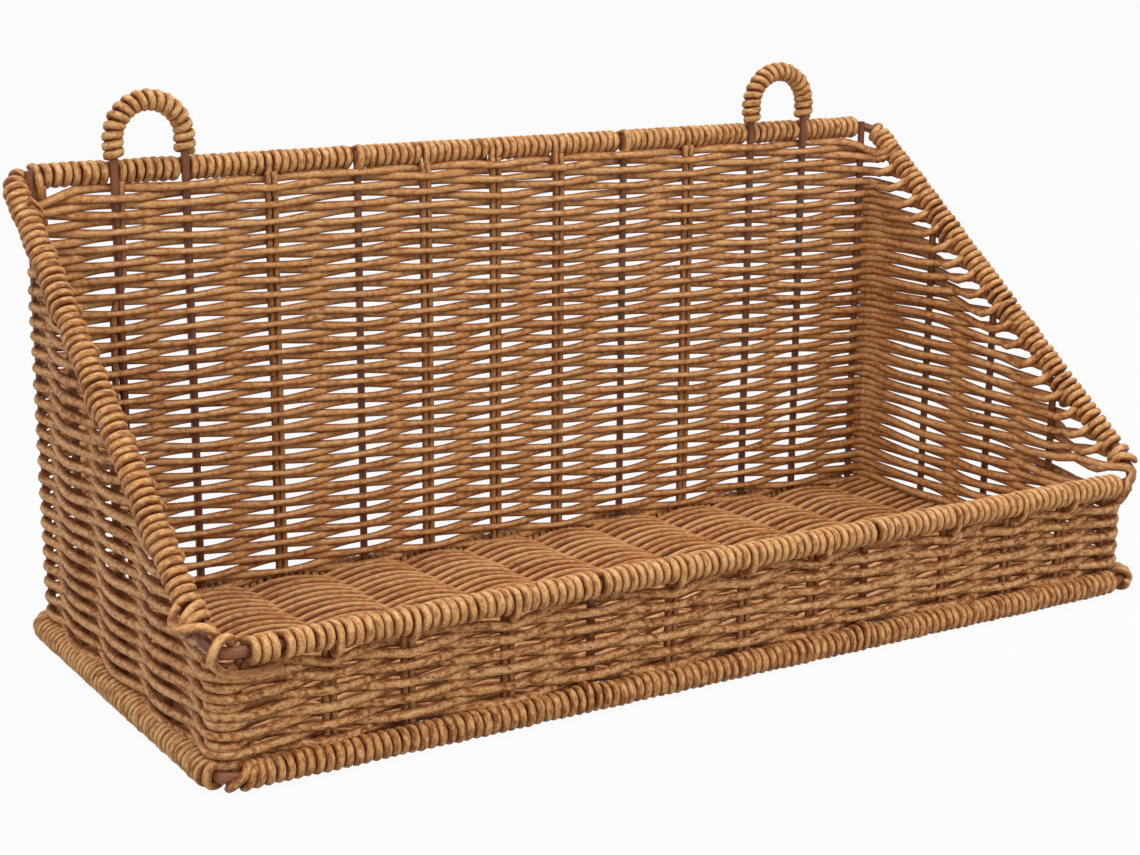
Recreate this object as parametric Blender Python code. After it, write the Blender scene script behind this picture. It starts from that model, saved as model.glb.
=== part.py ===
"""Wall basket: a wrapped wire frame with a low front, woven walls and floor, and two hanging loops.

Metres, +Z up. The back faces +Y, the low front faces -Y, and the length runs along X.
The origin is under the middle of the basket, at the level that it stands on.
"""

from math import acos, cos, hypot, pi, radians, sin, sqrt

import bmesh
import bpy
from mathutils import Vector

# Frame, measured between the centre lines of its wires
RIM_WIDTH = 0.390
RIM_DEPTH = 0.169
BACK_HEIGHT = 0.164
FRONT_HEIGHT = 0.040
BASE_TAPER = 0.0015
CORNER_RADIUS = 0.008

# Wires and cords, as diameters
FRAME_WIRE = 0.0040
STAKE_WIRE = 0.0030
LOOP_WIRE = 0.0032
BINDING_CORD = 0.0027
STAKE_CORD = 0.0027
WEAVER_CORD = 0.0028

# Clearances between pieces that touch on the real basket, and beside the single cord
GAP = 0.0003
WELD_GAP = 0.0004
SINGLE_STAKE_GAP = 0.0012
CUT_OVERRUN = 0.0020

# Stakes: their bends under the floor's edge, and the ends of the wire ones above the rim wire
BEND_RADIUS = 0.0025
STAKE_END_REACH = 0.0027

# Weave: the height of one course, and the groove between two courses
COURSE_PITCH = 0.0057
FLOOR_PITCH = 0.0056
GROOVE_DEPTH = 0.0010
GROOVE_WIDTH = 0.0022

# Openings of the back wall and the side walls: a plain grid for the gaps that the weave leaves beside stakes
WINDOW_WIDTH = 0.0160
WINDOW_HEIGHT_SHARE = 1.05
WINDOW_STEP_COURSES = 3
SIDE_WINDOW_MARGIN = 0.0040

# Hanging loops: the height of the arc's centre over the rim wire, and the distance between the legs
LOOP_RISE = 0.0120
LEFT_LOOP_SPAN = 0.0270
RIGHT_LOOP_SPAN = 0.0280
LOOP_CORD = 0.0021
LEFT_LOOP_TURNS = 16
RIGHT_LOOP_TURNS = 17
LEFT_LOOP_SHARE = -0.744
RIGHT_LOOP_SHARE = 0.708

# Places along the half width, at the front rim and at the back rim
CORD_RIB_SHARES = (
    (-0.463, -0.503),
    (-0.130, -0.169),
    (0.028, -0.009),
    (0.185, 0.142),
    (0.503, 0.470),
)
WIRE_RIB_SHARES = ((-0.298, -0.320), (0.305, 0.303))
OUTER_RIB_SHARES = (-0.791, -0.650, 0.666, 0.808)

# Places of the side stakes along the depth, from the back wire
LEFT_STAKE_SHARES = (0.26, 0.485, 0.727)
RIGHT_STAKE_SHARES = (0.279, 0.514, 0.733)

# Place of the front right post along the half width
FRONT_RIGHT_POST_SHARE = 0.9226

# Proportions of a doubled cord, as shares of the cord's radius
CORD_CENTRE_SHARE = 0.9

# Counts
WIRE_SIDES_RESOLUTION = 3
LOOP_CORD_RESOLUTION = 1
CORNER_STEPS = 6
ARC_STEPS = 16
BEND_STEPS = 3
CORD_ARC_POINTS = 7
SLEEVE_SIDES = 8
LOOP_TURN_POINTS = 14

# Colours as linear values
WIRE_COLOUR = (0.20, 0.082, 0.044, 1.0)
CORD_COLOUR = (0.50, 0.27, 0.105, 1.0)
WIRE_ROUGHNESS = 0.42
CORD_ROUGHNESS = 0.62
SMOOTH_ANGLE = radians(40)
LEAST_MITRE = 0.5

# Derived sizes
BINDING = FRAME_WIRE + 2 * BINDING_CORD
SLEEVE_BORE = FRAME_WIRE + 2 * GAP
PANEL = STAKE_WIRE + 2 * WEAVER_CORD
WALL_INSET = (FRAME_WIRE + max(LOOP_WIRE, STAKE_WIRE)) / 2 + WELD_GAP
HALF_WIDTH = RIM_WIDTH / 2
HALF_DEPTH = RIM_DEPTH / 2
BASE_HALF_WIDTH = HALF_WIDTH - BASE_TAPER
BASE_Z = BINDING / 2
BACK_Z = BASE_Z + BACK_HEIGHT
FRONT_Z = BASE_Z + FRONT_HEIGHT
SLOPE_RISE = BACK_Z - FRONT_Z
SLOPE_LENGTH = hypot(RIM_DEPTH, SLOPE_RISE)
SLOPE_DIRECTION = Vector((0, RIM_DEPTH, SLOPE_RISE)) / SLOPE_LENGTH
SLOPE_NORMAL = Vector((0, -SLOPE_RISE, RIM_DEPTH)) / SLOPE_LENGTH
WALL_X = HALF_WIDTH - WALL_INSET
WALL_Y = HALF_DEPTH - WALL_INSET
WALL_FOOT = BINDING + GAP
FLOOR_Z = BINDING - PANEL / 2
BACK_WALL_TOP = BACK_Z - BINDING / 2 - GAP
FRONT_WALL_TOP = FRONT_Z - BINDING / 2 - GAP
POST_X = WALL_X - PANEL / 2 - GAP - STAKE_WIRE / 2
PANEL_HALF_WIDTH = POST_X - STAKE_WIRE / 2 - GAP
FRONT_PANEL_RIGHT = WALL_X - PANEL / 2 - GAP
FLOOR_HALF_WIDTH = BASE_HALF_WIDTH - BINDING / 2 - GAP
FLOOR_HALF_DEPTH = HALF_DEPTH - BINDING / 2 - GAP
CORNER_END = CORNER_RADIUS + GAP
BEND_REACH = CORNER_RADIUS - (FRAME_WIRE + STAKE_WIRE) / 2 - WELD_GAP
BEND_POST_INSET = CORNER_RADIUS - BEND_REACH / sqrt(2)
STAKE_FOOT = BASE_Z - FRAME_WIRE / 2
CORD_PAIR = STAKE_CORD * (1 + CORD_CENTRE_SHARE)
SLOT_THICKNESS = STAKE_WIRE + 2 * GAP
LEG_SLOT = LOOP_WIRE + 2 * GAP
WINDING_RADIUS = LOOP_WIRE / 2 + GAP + LOOP_CORD / 2

AXIS_X = Vector((1, 0, 0))
AXIS_Y = Vector((0, 1, 0))
AXIS_Z = Vector((0, 0, 1))


def clear_scene():
    for item in list(bpy.data.objects):
        bpy.data.objects.remove(item, do_unlink=True)


def make_material(name, colour, roughness):
    material = bpy.data.materials.new(name)
    material.use_nodes = True
    material.diffuse_color = colour
    shader = material.node_tree.nodes["Principled BSDF"]
    shader.inputs["Base Color"].default_value = colour
    shader.inputs["Roughness"].default_value = roughness
    shader.inputs["Metallic"].default_value = 0.0
    return material


def add_object(name, data, material):
    item = bpy.data.objects.new(name, data)
    bpy.context.scene.collection.objects.link(item)
    if material is not None:
        data.materials.append(material)
    return item


def mesh_object(name, shape, material):
    """Turn a closed bmesh into an object with its faces pointing out and its round sides smooth."""
    bmesh.ops.recalc_face_normals(shape, faces=shape.faces)
    mesh = bpy.data.meshes.new(name)
    shape.to_mesh(mesh)
    shape.free()
    mesh.shade_smooth()
    mesh.set_sharp_from_angle(angle=SMOOTH_ANGLE)
    return add_object(name, mesh, material)


def loft(shape, rings):
    """Add one closed body through rings of points, capped at its first and its last ring."""
    loops = [[shape.verts.new(point) for point in ring] for ring in rings]
    for lower, upper in zip(loops, loops[1:]):
        for here in range(len(lower)):
            after = (here + 1) % len(lower)
            shape.faces.new((lower[here], lower[after], upper[after], upper[here]))
    shape.faces.new(loops[0][::-1])
    shape.faces.new(loops[-1])


def sweep(shape, outline, path, side):
    """Loft an outline of (along side, across) points along a path, mitred at its bends."""
    directions = [(b - a).normalized() for a, b in zip(path, path[1:])]
    rings = []
    for index, point in enumerate(path):
        before = directions[max(index - 1, 0)]
        after = directions[min(index, len(directions) - 1)]
        tangent = (before + after).normalized()
        across = side.cross(tangent).normalized()
        stretch = 1 / max(tangent.dot(after), LEAST_MITRE)
        rings.append([point + side * u + across * (v * stretch) for u, v in outline])
    loft(shape, rings)


def box_outline(width, thickness):
    u = width / 2
    v = thickness / 2
    return [(-u, -v), (u, -v), (u, v), (-u, v)]


def round_outline(diameter, sides):
    angles = [2 * pi * step / sides for step in range(sides)]
    return [(diameter / 2 * cos(angle), diameter / 2 * sin(angle)) for angle in angles]


def cord_pair_outline(diameter):
    """Two cords side by side, joined where they touch."""
    radius = diameter / 2
    centre = radius * CORD_CENTRE_SHARE
    last = acos(-CORD_CENTRE_SHARE)
    right = []
    for step in range(CORD_ARC_POINTS):
        angle = last * (2 * step / (CORD_ARC_POINTS - 1) - 1)
        right.append((centre + radius * cos(angle), radius * sin(angle)))
    left = [(-x, -y) for x, y in right[1:-1]]
    return right + left


def sleeve(name, start, end, across, material, cutters=()):
    """A straight binding of flat facets around a bore, between two points on the wire's centre line."""
    along = (end - start).normalized()
    other = along.cross(across).normalized()
    rings = []
    for diameter in (BINDING, SLEEVE_BORE):
        radius = diameter / 2 / cos(pi / SLEEVE_SIDES)
        angles = [pi / SLEEVE_SIDES * (2 * step + 1) for step in range(SLEEVE_SIDES)]
        rings.append([across * (radius * cos(a)) + other * (radius * sin(a)) for a in angles])
    shape = bmesh.new()
    outer_start, outer_end, inner_start, inner_end = (
        [shape.verts.new(point + offset) for offset in ring]
        for ring in rings
        for point in (start, end)
    )
    for here in range(SLEEVE_SIDES):
        after = (here + 1) % SLEEVE_SIDES
        shape.faces.new((outer_start[here], outer_start[after], outer_end[after], outer_end[here]))
        shape.faces.new((inner_start[after], inner_start[here], inner_end[here], inner_end[after]))
        shape.faces.new((outer_start[after], outer_start[here], inner_start[here], inner_start[after]))
        shape.faces.new((outer_end[here], outer_end[after], inner_end[after], inner_end[here]))
    item = mesh_object(name, shape, material)
    cut(item, cutters)
    return item


def cut(item, cutters):
    for cutter in cutters:
        modifier = item.modifiers.new("cut_" + cutter.name, "BOOLEAN")
        modifier.operation = "DIFFERENCE"
        modifier.solver = "EXACT"
        modifier.object = cutter


def make_cutter(name, bodies):
    """One hidden object holding a body for each (outline, path, side)."""
    shape = bmesh.new()
    for outline, path, side in bodies:
        sweep(shape, outline, path, side)
    cutter = mesh_object(name, shape, None)
    cutter.hide_render = True
    cutter.display_type = "WIRE"
    return cutter


def wire(name, points, diameter, material, closed=False, resolution=WIRE_SIDES_RESOLUTION):
    """A round wire or cord along a list of points."""
    curve = bpy.data.curves.new(name, "CURVE")
    curve.dimensions = "3D"
    curve.bevel_depth = diameter / 2
    curve.bevel_resolution = resolution
    curve.use_fill_caps = not closed
    spline = curve.splines.new("POLY")
    spline.points.add(len(points) - 1)
    for target, point in zip(spline.points, points):
        target.co = (*point, 1.0)
    spline.use_cyclic_u = closed
    spline.use_smooth = True
    return add_object(name, curve, material)


def rounded_rectangle(centre, half_length, half_breadth, breadth_axis, radius):
    """Points of a closed loop in the plane of X and breadth_axis."""
    points = []
    for quarter, (sign_x, sign_b) in enumerate(((1, 1), (-1, 1), (-1, -1), (1, -1))):
        middle = centre + AXIS_X * (sign_x * (half_length - radius))
        middle += breadth_axis * (sign_b * (half_breadth - radius))
        for step in range(CORNER_STEPS + 1):
            angle = pi / 2 * (quarter + step / CORNER_STEPS)
            points.append(middle + AXIS_X * (radius * cos(angle)) + breadth_axis * (radius * sin(angle)))
    return points


def build_frame_wires(material):
    rim_centre = Vector((0, 0, (BACK_Z + FRONT_Z) / 2))
    rim = rounded_rectangle(rim_centre, HALF_WIDTH, SLOPE_LENGTH / 2, SLOPE_DIRECTION, CORNER_RADIUS)
    base = rounded_rectangle(Vector((0, 0, BASE_Z)), BASE_HALF_WIDTH, HALF_DEPTH, AXIS_Y, CORNER_RADIUS)
    wire("rim_wire", rim, FRAME_WIRE, material, closed=True)
    wire("base_wire", base, FRAME_WIRE, material, closed=True)


def rib_path(front_x, back_x, front_top, back_top):
    """Down the front wall, across the floor and up the back wall, through round bends."""
    path = [Vector((front_x, -WALL_Y, front_top))]
    for x, y_sign in ((front_x, -1), (back_x, 1)):
        middle_y = y_sign * (WALL_Y - BEND_RADIUS)
        middle_z = FLOOR_Z + BEND_RADIUS
        bend = []
        for step in range(BEND_STEPS + 1):
            angle = pi / 2 * step / BEND_STEPS
            y = middle_y + y_sign * BEND_RADIUS * cos(angle)
            bend.append(Vector((x, y, middle_z - BEND_RADIUS * sin(angle))))
        path += bend if y_sign < 0 else bend[::-1]
    path.append(Vector((back_x, WALL_Y, back_top)))
    return path


def outer_rib_path(front_x, back_x, front_top):
    """Down the front wall and across the floor, as far as the leg of a hanging loop."""
    full = rib_path(front_x, back_x, front_top, BACK_WALL_TOP)
    last = Vector((back_x, WALL_Y - LOOP_WIRE / 2 - GAP, FLOOR_Z))
    return full[: BEND_STEPS + 2] + [last]


def stretched(path, start_extra, end_extra):
    """The same path with its two ends drawn out, for a cutter that runs past the piece it cuts."""
    longer = list(path)
    longer[0] = path[0] + (path[0] - path[1]).normalized() * start_extra
    longer[-1] = path[-1] + (path[-1] - path[-2]).normalized() * end_extra
    return longer


def side_stake_path(x_sign, share):
    """A straight stake in a side wall, cut level below the sloping rim."""
    y = HALF_DEPTH - RIM_DEPTH * share
    low_y = y - STAKE_WIRE / 2
    slope_z = FRONT_Z + SLOPE_RISE * (low_y + HALF_DEPTH) / RIM_DEPTH
    top = slope_z - (BINDING / 2 + GAP) * SLOPE_LENGTH / RIM_DEPTH
    return [Vector((x_sign * WALL_X, y, WALL_FOOT)), Vector((x_sign * WALL_X, y, top))]


def loop_arc(centre_x, span):
    """The centre line of a hanging loop's bend, from its left leg to its right leg."""
    centre = Vector((centre_x, WALL_Y, BACK_Z + LOOP_RISE))
    points = []
    for step in range(ARC_STEPS + 1):
        angle = pi * (1 - step / ARC_STEPS)
        points.append(centre + AXIS_X * (span / 2 * cos(angle)) + AXIS_Z * (span / 2 * sin(angle)))
    return points


def loop_winding_points(centre_x, span, turns):
    """A helix around the legs and the bend of a hanging loop, with its two ends run out straight."""
    radius = span / 2
    start_z = BACK_Z + BINDING / 2 + GAP + LOOP_CORD / 2
    leg = BACK_Z + LOOP_RISE - start_z
    length = 2 * leg + pi * radius
    count = turns * LOOP_TURN_POINTS
    points = []
    for step in range(count + 1):
        along = length * step / count
        turn = 2 * pi * turns * step / count
        if along < leg:
            centre = Vector((centre_x - radius, WALL_Y, start_z + along))
            outward = -AXIS_X
        elif along > length - leg:
            centre = Vector((centre_x + radius, WALL_Y, start_z + length - along))
            outward = AXIS_X
        else:
            angle = pi - (along - leg) / radius
            outward = AXIS_X * cos(angle) + AXIS_Z * sin(angle)
            centre = Vector((centre_x, WALL_Y, BACK_Z + LOOP_RISE)) + outward * radius
        points.append(centre + (outward * cos(turn) - AXIS_Y * sin(turn)) * WINDING_RADIUS)
    first = points[0] + AXIS_Y * LOOP_CORD
    last = points[-1] - AXIS_Y * LOOP_CORD
    return [first] + points + [last]


def least_self_gap(points, diameter):
    """The smallest clear distance between one turn and the turns next to it, from the points."""
    least = None
    near = LOOP_TURN_POINTS // 2
    for here in range(len(points)):
        for other in range(here + near, min(here + 3 * near, len(points) - 1)):
            start = points[other]
            span = points[other + 1] - start
            share = max(0.0, min(1.0, (points[here] - start).dot(span) / span.length_squared))
            distance = (points[here] - start - span * share).length
            if least is None or distance < least:
                least = distance
    return least - diameter


def build_loop(side_name, share, span, turns, wire_material, cord_material):
    centre_x = HALF_WIDTH * share
    arc = loop_arc(centre_x, span)
    left_foot = Vector((centre_x - span / 2, WALL_Y, STAKE_FOOT))
    right_foot = Vector((centre_x + span / 2, WALL_Y, STAKE_FOOT))
    wire("hanging_loop_wire_" + side_name, [left_foot] + arc + [right_foot], LOOP_WIRE, wire_material)
    winding = loop_winding_points(centre_x, span, turns)
    wire("hanging_loop_winding_" + side_name, winding, LOOP_CORD, cord_material, resolution=LOOP_CORD_RESOLUTION)
    print(side_name, "winding, least gap to itself in mm:", round(least_self_gap(winding, LOOP_CORD) * 1000, 2))
    return [left_foot.x, right_foot.x]


def grooved_outline(low, high, pitch):
    """The section of a woven panel: a slab with a groove on both faces between every two courses."""
    count = max(2, round((high - low) / pitch))
    face = PANEL / 2
    half_groove = GROOVE_WIDTH / 2
    side = [(low, face)]
    for course in range(1, count):
        level = low + (high - low) * course / count
        side += [(level - half_groove, face), (level, face - GROOVE_DEPTH), (level + half_groove, face)]
    side.append((high, face))
    return side + [(level, -offset) for level, offset in reversed(side)]


def build_wall(name, ends, y, top, material, cutters):
    """A front or back wall, extruded along X between its two ends."""
    outline = grooved_outline(WALL_FOOT, top, COURSE_PITCH)
    shape = bmesh.new()
    loft(shape, [[Vector((x, y + offset, z)) for z, offset in outline] for x in ends])
    cut(mesh_object(name, shape, material), cutters)


def build_side_wall(name, x_sign, material, cutters):
    """A side wall, extruded along Y to the height of the back, then cut off under the slope."""
    half_depth = WALL_Y + PANEL / 2
    outline = grooved_outline(WALL_FOOT, BACK_WALL_TOP, COURSE_PITCH)
    shape = bmesh.new()
    x = x_sign * WALL_X
    loft(shape, [[Vector((x + offset, y, z)) for z, offset in outline] for y in (-half_depth, half_depth)])
    cut(mesh_object(name, shape, material), cutters)


def window_cuts(feet, through, along, top_at):
    """Boxes through a wall, a column over each stake's foot and a row at every third groove below the top."""
    courses = round((BACK_WALL_TOP - WALL_FOOT) / COURSE_PITCH)
    pitch = (BACK_WALL_TOP - WALL_FOOT) / courses
    height = pitch * WINDOW_HEIGHT_SHARE
    outline = box_outline(WINDOW_WIDTH, height)
    bodies = []
    for foot in feet:
        top = top_at(foot.y - WINDOW_WIDTH / 2)
        for course in range(WINDOW_STEP_COURSES, courses, WINDOW_STEP_COURSES):
            middle = Vector((foot.x, foot.y, WALL_FOOT + pitch * course))
            if middle.z + height / 2 < top:
                bodies.append((outline, [middle - through * PANEL, middle + through * PANEL], along))
    return bodies


def side_wall_top(y):
    """Height of the side walls' upper edge, less the margin over their openings."""
    slope_z = FRONT_Z + SLOPE_RISE * (y + HALF_DEPTH) / RIM_DEPTH
    return slope_z - (BINDING / 2 + GAP) * SLOPE_LENGTH / RIM_DEPTH - SIDE_WINDOW_MARGIN


def build_slope_cutter():
    """Everything over the lower side of the sloping binding, across both side walls."""
    reach = RIM_DEPTH / 2 + BINDING
    middle = Vector((0, 0, (BACK_Z + FRONT_Z) / 2)) - SLOPE_NORMAL * (BINDING / 2 + GAP)
    front = middle - SLOPE_DIRECTION * (reach * SLOPE_LENGTH / RIM_DEPTH)
    back = middle + SLOPE_DIRECTION * (reach * SLOPE_LENGTH / RIM_DEPTH)
    lift = AXIS_Z * (BACK_HEIGHT + BINDING)
    outline = [front, back, back + lift, front + lift]
    half_width = HALF_WIDTH + BINDING
    shape = bmesh.new()
    loft(shape, [[point + AXIS_X * x for point in outline] for x in (-half_width, half_width)])
    cutter = mesh_object("slope_cutter", shape, None)
    cutter.hide_render = True
    cutter.display_type = "WIRE"
    return cutter


def build_floor(material, cutters):
    outline = grooved_outline(-FLOOR_HALF_DEPTH, FLOOR_HALF_DEPTH, FLOOR_PITCH)
    shape = bmesh.new()
    ends = (-FLOOR_HALF_WIDTH, FLOOR_HALF_WIDTH)
    loft(shape, [[Vector((x, y, FLOOR_Z + offset)) for y, offset in outline] for x in ends])
    cut(mesh_object("woven_floor", shape, material), cutters)


def build_bindings(material, base_cutters, rim_cutters):
    half = PANEL_HALF_WIDTH
    back_y = HALF_DEPTH
    for name, y, z, cutters in (
        ("rim_binding_back", back_y, BACK_Z, rim_cutters),
        ("rim_binding_front", -back_y, FRONT_Z, rim_cutters),
        ("base_binding_back", back_y, BASE_Z, base_cutters),
        ("base_binding_front", -back_y, BASE_Z, base_cutters),
    ):
        sleeve(name, Vector((-half, y, z)), Vector((half, y, z)), AXIS_Y, material, cutters)
    for side_name, x_sign in (("left", -1), ("right", 1)):
        front = Vector((x_sign * HALF_WIDTH, -HALF_DEPTH, FRONT_Z)) + SLOPE_DIRECTION * CORNER_END
        post_room = STAKE_WIRE if side_name == "left" else 0
        back = Vector((x_sign * HALF_WIDTH, HALF_DEPTH, BACK_Z)) - SLOPE_DIRECTION * (CORNER_END + post_room)
        sleeve("rim_binding_" + side_name, front, back, AXIS_X, material)
        base_end = HALF_DEPTH - CORNER_END
        base_x = x_sign * BASE_HALF_WIDTH
        front = Vector((base_x, -base_end, BASE_Z))
        back = Vector((base_x, base_end, BASE_Z))
        sleeve("base_binding_" + side_name, front, back, AXIS_X, material)


def build_cord(name, outline, path, side, material):
    shape = bmesh.new()
    sweep(shape, outline, path, side)
    mesh_object(name, shape, material)


def build_basket():
    clear_scene()
    wire_material = make_material("coated_wire", WIRE_COLOUR, WIRE_ROUGHNESS)
    cord_material = make_material("woven_cord", CORD_COLOUR, CORD_ROUGHNESS)

    build_frame_wires(wire_material)
    left_legs = build_loop("left", LEFT_LOOP_SHARE, LEFT_LOOP_SPAN, LEFT_LOOP_TURNS, wire_material, cord_material)
    right_legs = build_loop("right", RIGHT_LOOP_SHARE, RIGHT_LOOP_SPAN, RIGHT_LOOP_TURNS, wire_material, cord_material)

    # Doubled cords that run from the front rim to the back rim under the floor
    cord_outline = cord_pair_outline(STAKE_CORD)
    cord_slot = box_outline(CORD_PAIR + 2 * GAP, SLOT_THICKNESS)
    cord_cuts = []
    for number, (front, back) in enumerate(CORD_RIB_SHARES, 1):
        path = rib_path(front * HALF_WIDTH, back * HALF_WIDTH, FRONT_WALL_TOP, BACK_WALL_TOP)
        build_cord(f"cord_rib_{number}", cord_outline, path, AXIS_X, cord_material)
        cord_cuts.append((cord_slot, stretched(path, CUT_OVERRUN, CUT_OVERRUN), AXIS_X))

    # Doubled cords that end at the legs of the hanging loops
    for number, (front, back_x) in enumerate(zip(OUTER_RIB_SHARES, left_legs + right_legs), 1):
        path = outer_rib_path(front * HALF_WIDTH, back_x, FRONT_WALL_TOP)
        build_cord(f"outer_cord_rib_{number}", cord_outline, path, AXIS_X, cord_material)
        cord_cuts.append((cord_slot, stretched(path, CUT_OVERRUN, CUT_OVERRUN), AXIS_X))

    # A single cord beside the left loop's outer leg
    single_x = left_legs[0] - (LOOP_WIRE + STAKE_CORD) / 2 - SINGLE_STAKE_GAP
    single_path = [Vector((single_x, WALL_Y, WALL_FOOT)), Vector((single_x, WALL_Y, BACK_WALL_TOP))]
    build_cord("single_cord_stake", round_outline(STAKE_CORD, SLEEVE_SIDES), single_path, AXIS_X, cord_material)
    single_slot = box_outline(STAKE_CORD + 2 * GAP, SLOT_THICKNESS)
    cord_cuts.append((single_slot, stretched(single_path, CUT_OVERRUN, CUT_OVERRUN), AXIS_X))

    # Wires in the side walls
    wire_slot = box_outline(SLOT_THICKNESS, SLOT_THICKNESS)
    side_cuts = []
    side_feet = []
    for side_name, x_sign, shares in (("left", -1, LEFT_STAKE_SHARES), ("right", 1, RIGHT_STAKE_SHARES)):
        for number, share in enumerate(shares, 1):
            path = side_stake_path(x_sign, share)
            wire(f"side_stake_{side_name}_{number}", path, STAKE_WIRE, wire_material)
            side_cuts.append((wire_slot, stretched(path, CUT_OVERRUN, BINDING), AXIS_Y))
            side_feet.append(path[0])

    # Wire ribs from rim to rim
    wire_cuts = []
    for number, (front, back) in enumerate(WIRE_RIB_SHARES, 1):
        tops = (FRONT_Z + STAKE_END_REACH, BACK_Z + STAKE_END_REACH)
        path = rib_path(front * HALF_WIDTH, back * HALF_WIDTH, *tops)
        wire(f"wire_rib_{number}", path, STAKE_WIRE, wire_material)
        wire_cuts.append((wire_slot, stretched(path, CUT_OVERRUN, CUT_OVERRUN), AXIS_X))

    # Legs of the hanging loops, as deep as the base wire
    leg_slot = box_outline(LEG_SLOT, LEG_SLOT)
    for x in left_legs + right_legs:
        leg = [Vector((x, WALL_Y, STAKE_FOOT - GAP)), Vector((x, WALL_Y, BACK_Z + BINDING))]
        wire_cuts.append((leg_slot, leg, AXIS_X))

    # Corner posts: at the end walls' edges, and the front right one inside the front wall
    for corner_name, x, y, rim_z in (
        ("front_left", -POST_X, -WALL_Y, FRONT_Z),
        ("front_right", HALF_WIDTH * FRONT_RIGHT_POST_SHARE, -WALL_Y, FRONT_Z),
        ("back_right", POST_X, WALL_Y, BACK_Z),
    ):
        foot = Vector((x, y, STAKE_FOOT))
        head = Vector((x, y, rim_z + STAKE_END_REACH))
        wire("corner_post_" + corner_name, [foot, head], STAKE_WIRE, wire_material)
        wire_cuts.append((wire_slot, [foot - AXIS_Z * GAP, head], AXIS_X))

    # The back left post stands in the rim wire's bend, and a single cord takes its place at the wall's edge
    bend_x = BEND_POST_INSET - HALF_WIDTH
    bend_y = HALF_DEPTH - BEND_POST_INSET
    bend_post = [Vector((bend_x, bend_y, WALL_FOOT)), Vector((bend_x, bend_y, BACK_Z + STAKE_END_REACH))]
    wire("corner_post_back_left", bend_post, STAKE_WIRE, wire_material)
    edge_cord = [Vector((-POST_X, WALL_Y, WALL_FOOT)), Vector((-POST_X, WALL_Y, BACK_WALL_TOP))]
    build_cord("corner_cord_stake", round_outline(STAKE_CORD, SLEEVE_SIDES), edge_cord, AXIS_X, cord_material)
    notch_width = PANEL
    notch_middle = Vector((bend_x + (notch_width - SLOT_THICKNESS) / 2, bend_y, 0))
    notch_path = [notch_middle, notch_middle + AXIS_Z * (BACK_Z + BINDING)]
    post_cutter = make_cutter("post_notch", [(box_outline(notch_width, SLOT_THICKNESS), notch_path, AXIS_X)])

    cord_cutter = make_cutter("cord_slots", cord_cuts)
    wire_cutter = make_cutter("wire_slots", wire_cuts)
    side_cutter = make_cutter("side_slots", side_cuts)
    back_stakes = [back * HALF_WIDTH for front, back in CORD_RIB_SHARES + WIRE_RIB_SHARES]
    back_feet = [Vector((x, WALL_Y, 0)) for x in back_stakes + left_legs + right_legs]
    back_windows = make_cutter("back_windows", window_cuts(back_feet, AXIS_Y, AXIS_X, lambda y: BACK_WALL_TOP))
    side_windows = make_cutter("side_windows", window_cuts(side_feet, AXIS_X, AXIS_Y, side_wall_top))
    slope_cutter = build_slope_cutter()

    both = (cord_cutter, wire_cutter)
    build_bindings(cord_material, both, (wire_cutter,))
    back_ends = (-PANEL_HALF_WIDTH, PANEL_HALF_WIDTH)
    front_ends = (-PANEL_HALF_WIDTH, FRONT_PANEL_RIGHT)
    build_wall("woven_back", back_ends, WALL_Y, BACK_WALL_TOP, cord_material, both + (back_windows,))
    build_wall("woven_front", front_ends, -WALL_Y, FRONT_WALL_TOP, cord_material, both)
    left_cutters = (slope_cutter, side_cutter, post_cutter, side_windows)
    build_side_wall("woven_side_left", -1, cord_material, left_cutters)
    build_side_wall("woven_side_right", 1, cord_material, (slope_cutter, side_cutter, side_windows))
    build_floor(cord_material, both)


build_basket()
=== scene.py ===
"""Wall basket, dressed: woven cord walls and floor, wrapped wires, and the photograph's view and light.

Every size below is in millimetres, and the meshes are made in metres. +X runs to the right along the
low front, +Y points at the wall behind the basket, +Z is up.
"""

import bpy
import numpy as np
from mathutils import Matrix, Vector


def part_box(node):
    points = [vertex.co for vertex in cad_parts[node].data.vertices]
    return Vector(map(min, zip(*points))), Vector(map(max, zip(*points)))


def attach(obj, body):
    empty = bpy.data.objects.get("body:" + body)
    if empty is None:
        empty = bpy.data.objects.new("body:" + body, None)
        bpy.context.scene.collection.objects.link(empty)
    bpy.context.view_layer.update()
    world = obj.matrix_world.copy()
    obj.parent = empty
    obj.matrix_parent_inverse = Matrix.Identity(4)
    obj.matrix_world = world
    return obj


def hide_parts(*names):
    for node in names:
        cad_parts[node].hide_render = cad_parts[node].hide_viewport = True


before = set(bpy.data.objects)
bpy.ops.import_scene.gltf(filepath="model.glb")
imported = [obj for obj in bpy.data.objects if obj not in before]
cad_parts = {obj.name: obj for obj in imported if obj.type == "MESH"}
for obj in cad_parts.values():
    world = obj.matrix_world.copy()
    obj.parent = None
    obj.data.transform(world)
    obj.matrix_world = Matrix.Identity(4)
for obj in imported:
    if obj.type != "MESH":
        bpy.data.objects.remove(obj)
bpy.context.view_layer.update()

MM = 0.001
PI = np.pi
rng = np.random.default_rng(41)

# Frame wires, between their centre lines
HALF_WIDTH = 195.0
HALF_DEPTH = 84.5
BACK_Z = 168.7
FRONT_Z = 44.7
BASE_Z = 4.7
BASE_HALF_WIDTH = 193.5
FRAME_BEND = 8.0

# Middle surfaces of the walls and of the floor. The base's turns stand a little above its wire's middle
WALL_X = 191.0
WALL_Y = 80.5
WALL_BEND = 6.0
FLOOR_Z = 5.1
WALL_FOOT = 9.7
BACK_TOP = 163.7
BASE_TURNS_LIFT = 0.2

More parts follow.
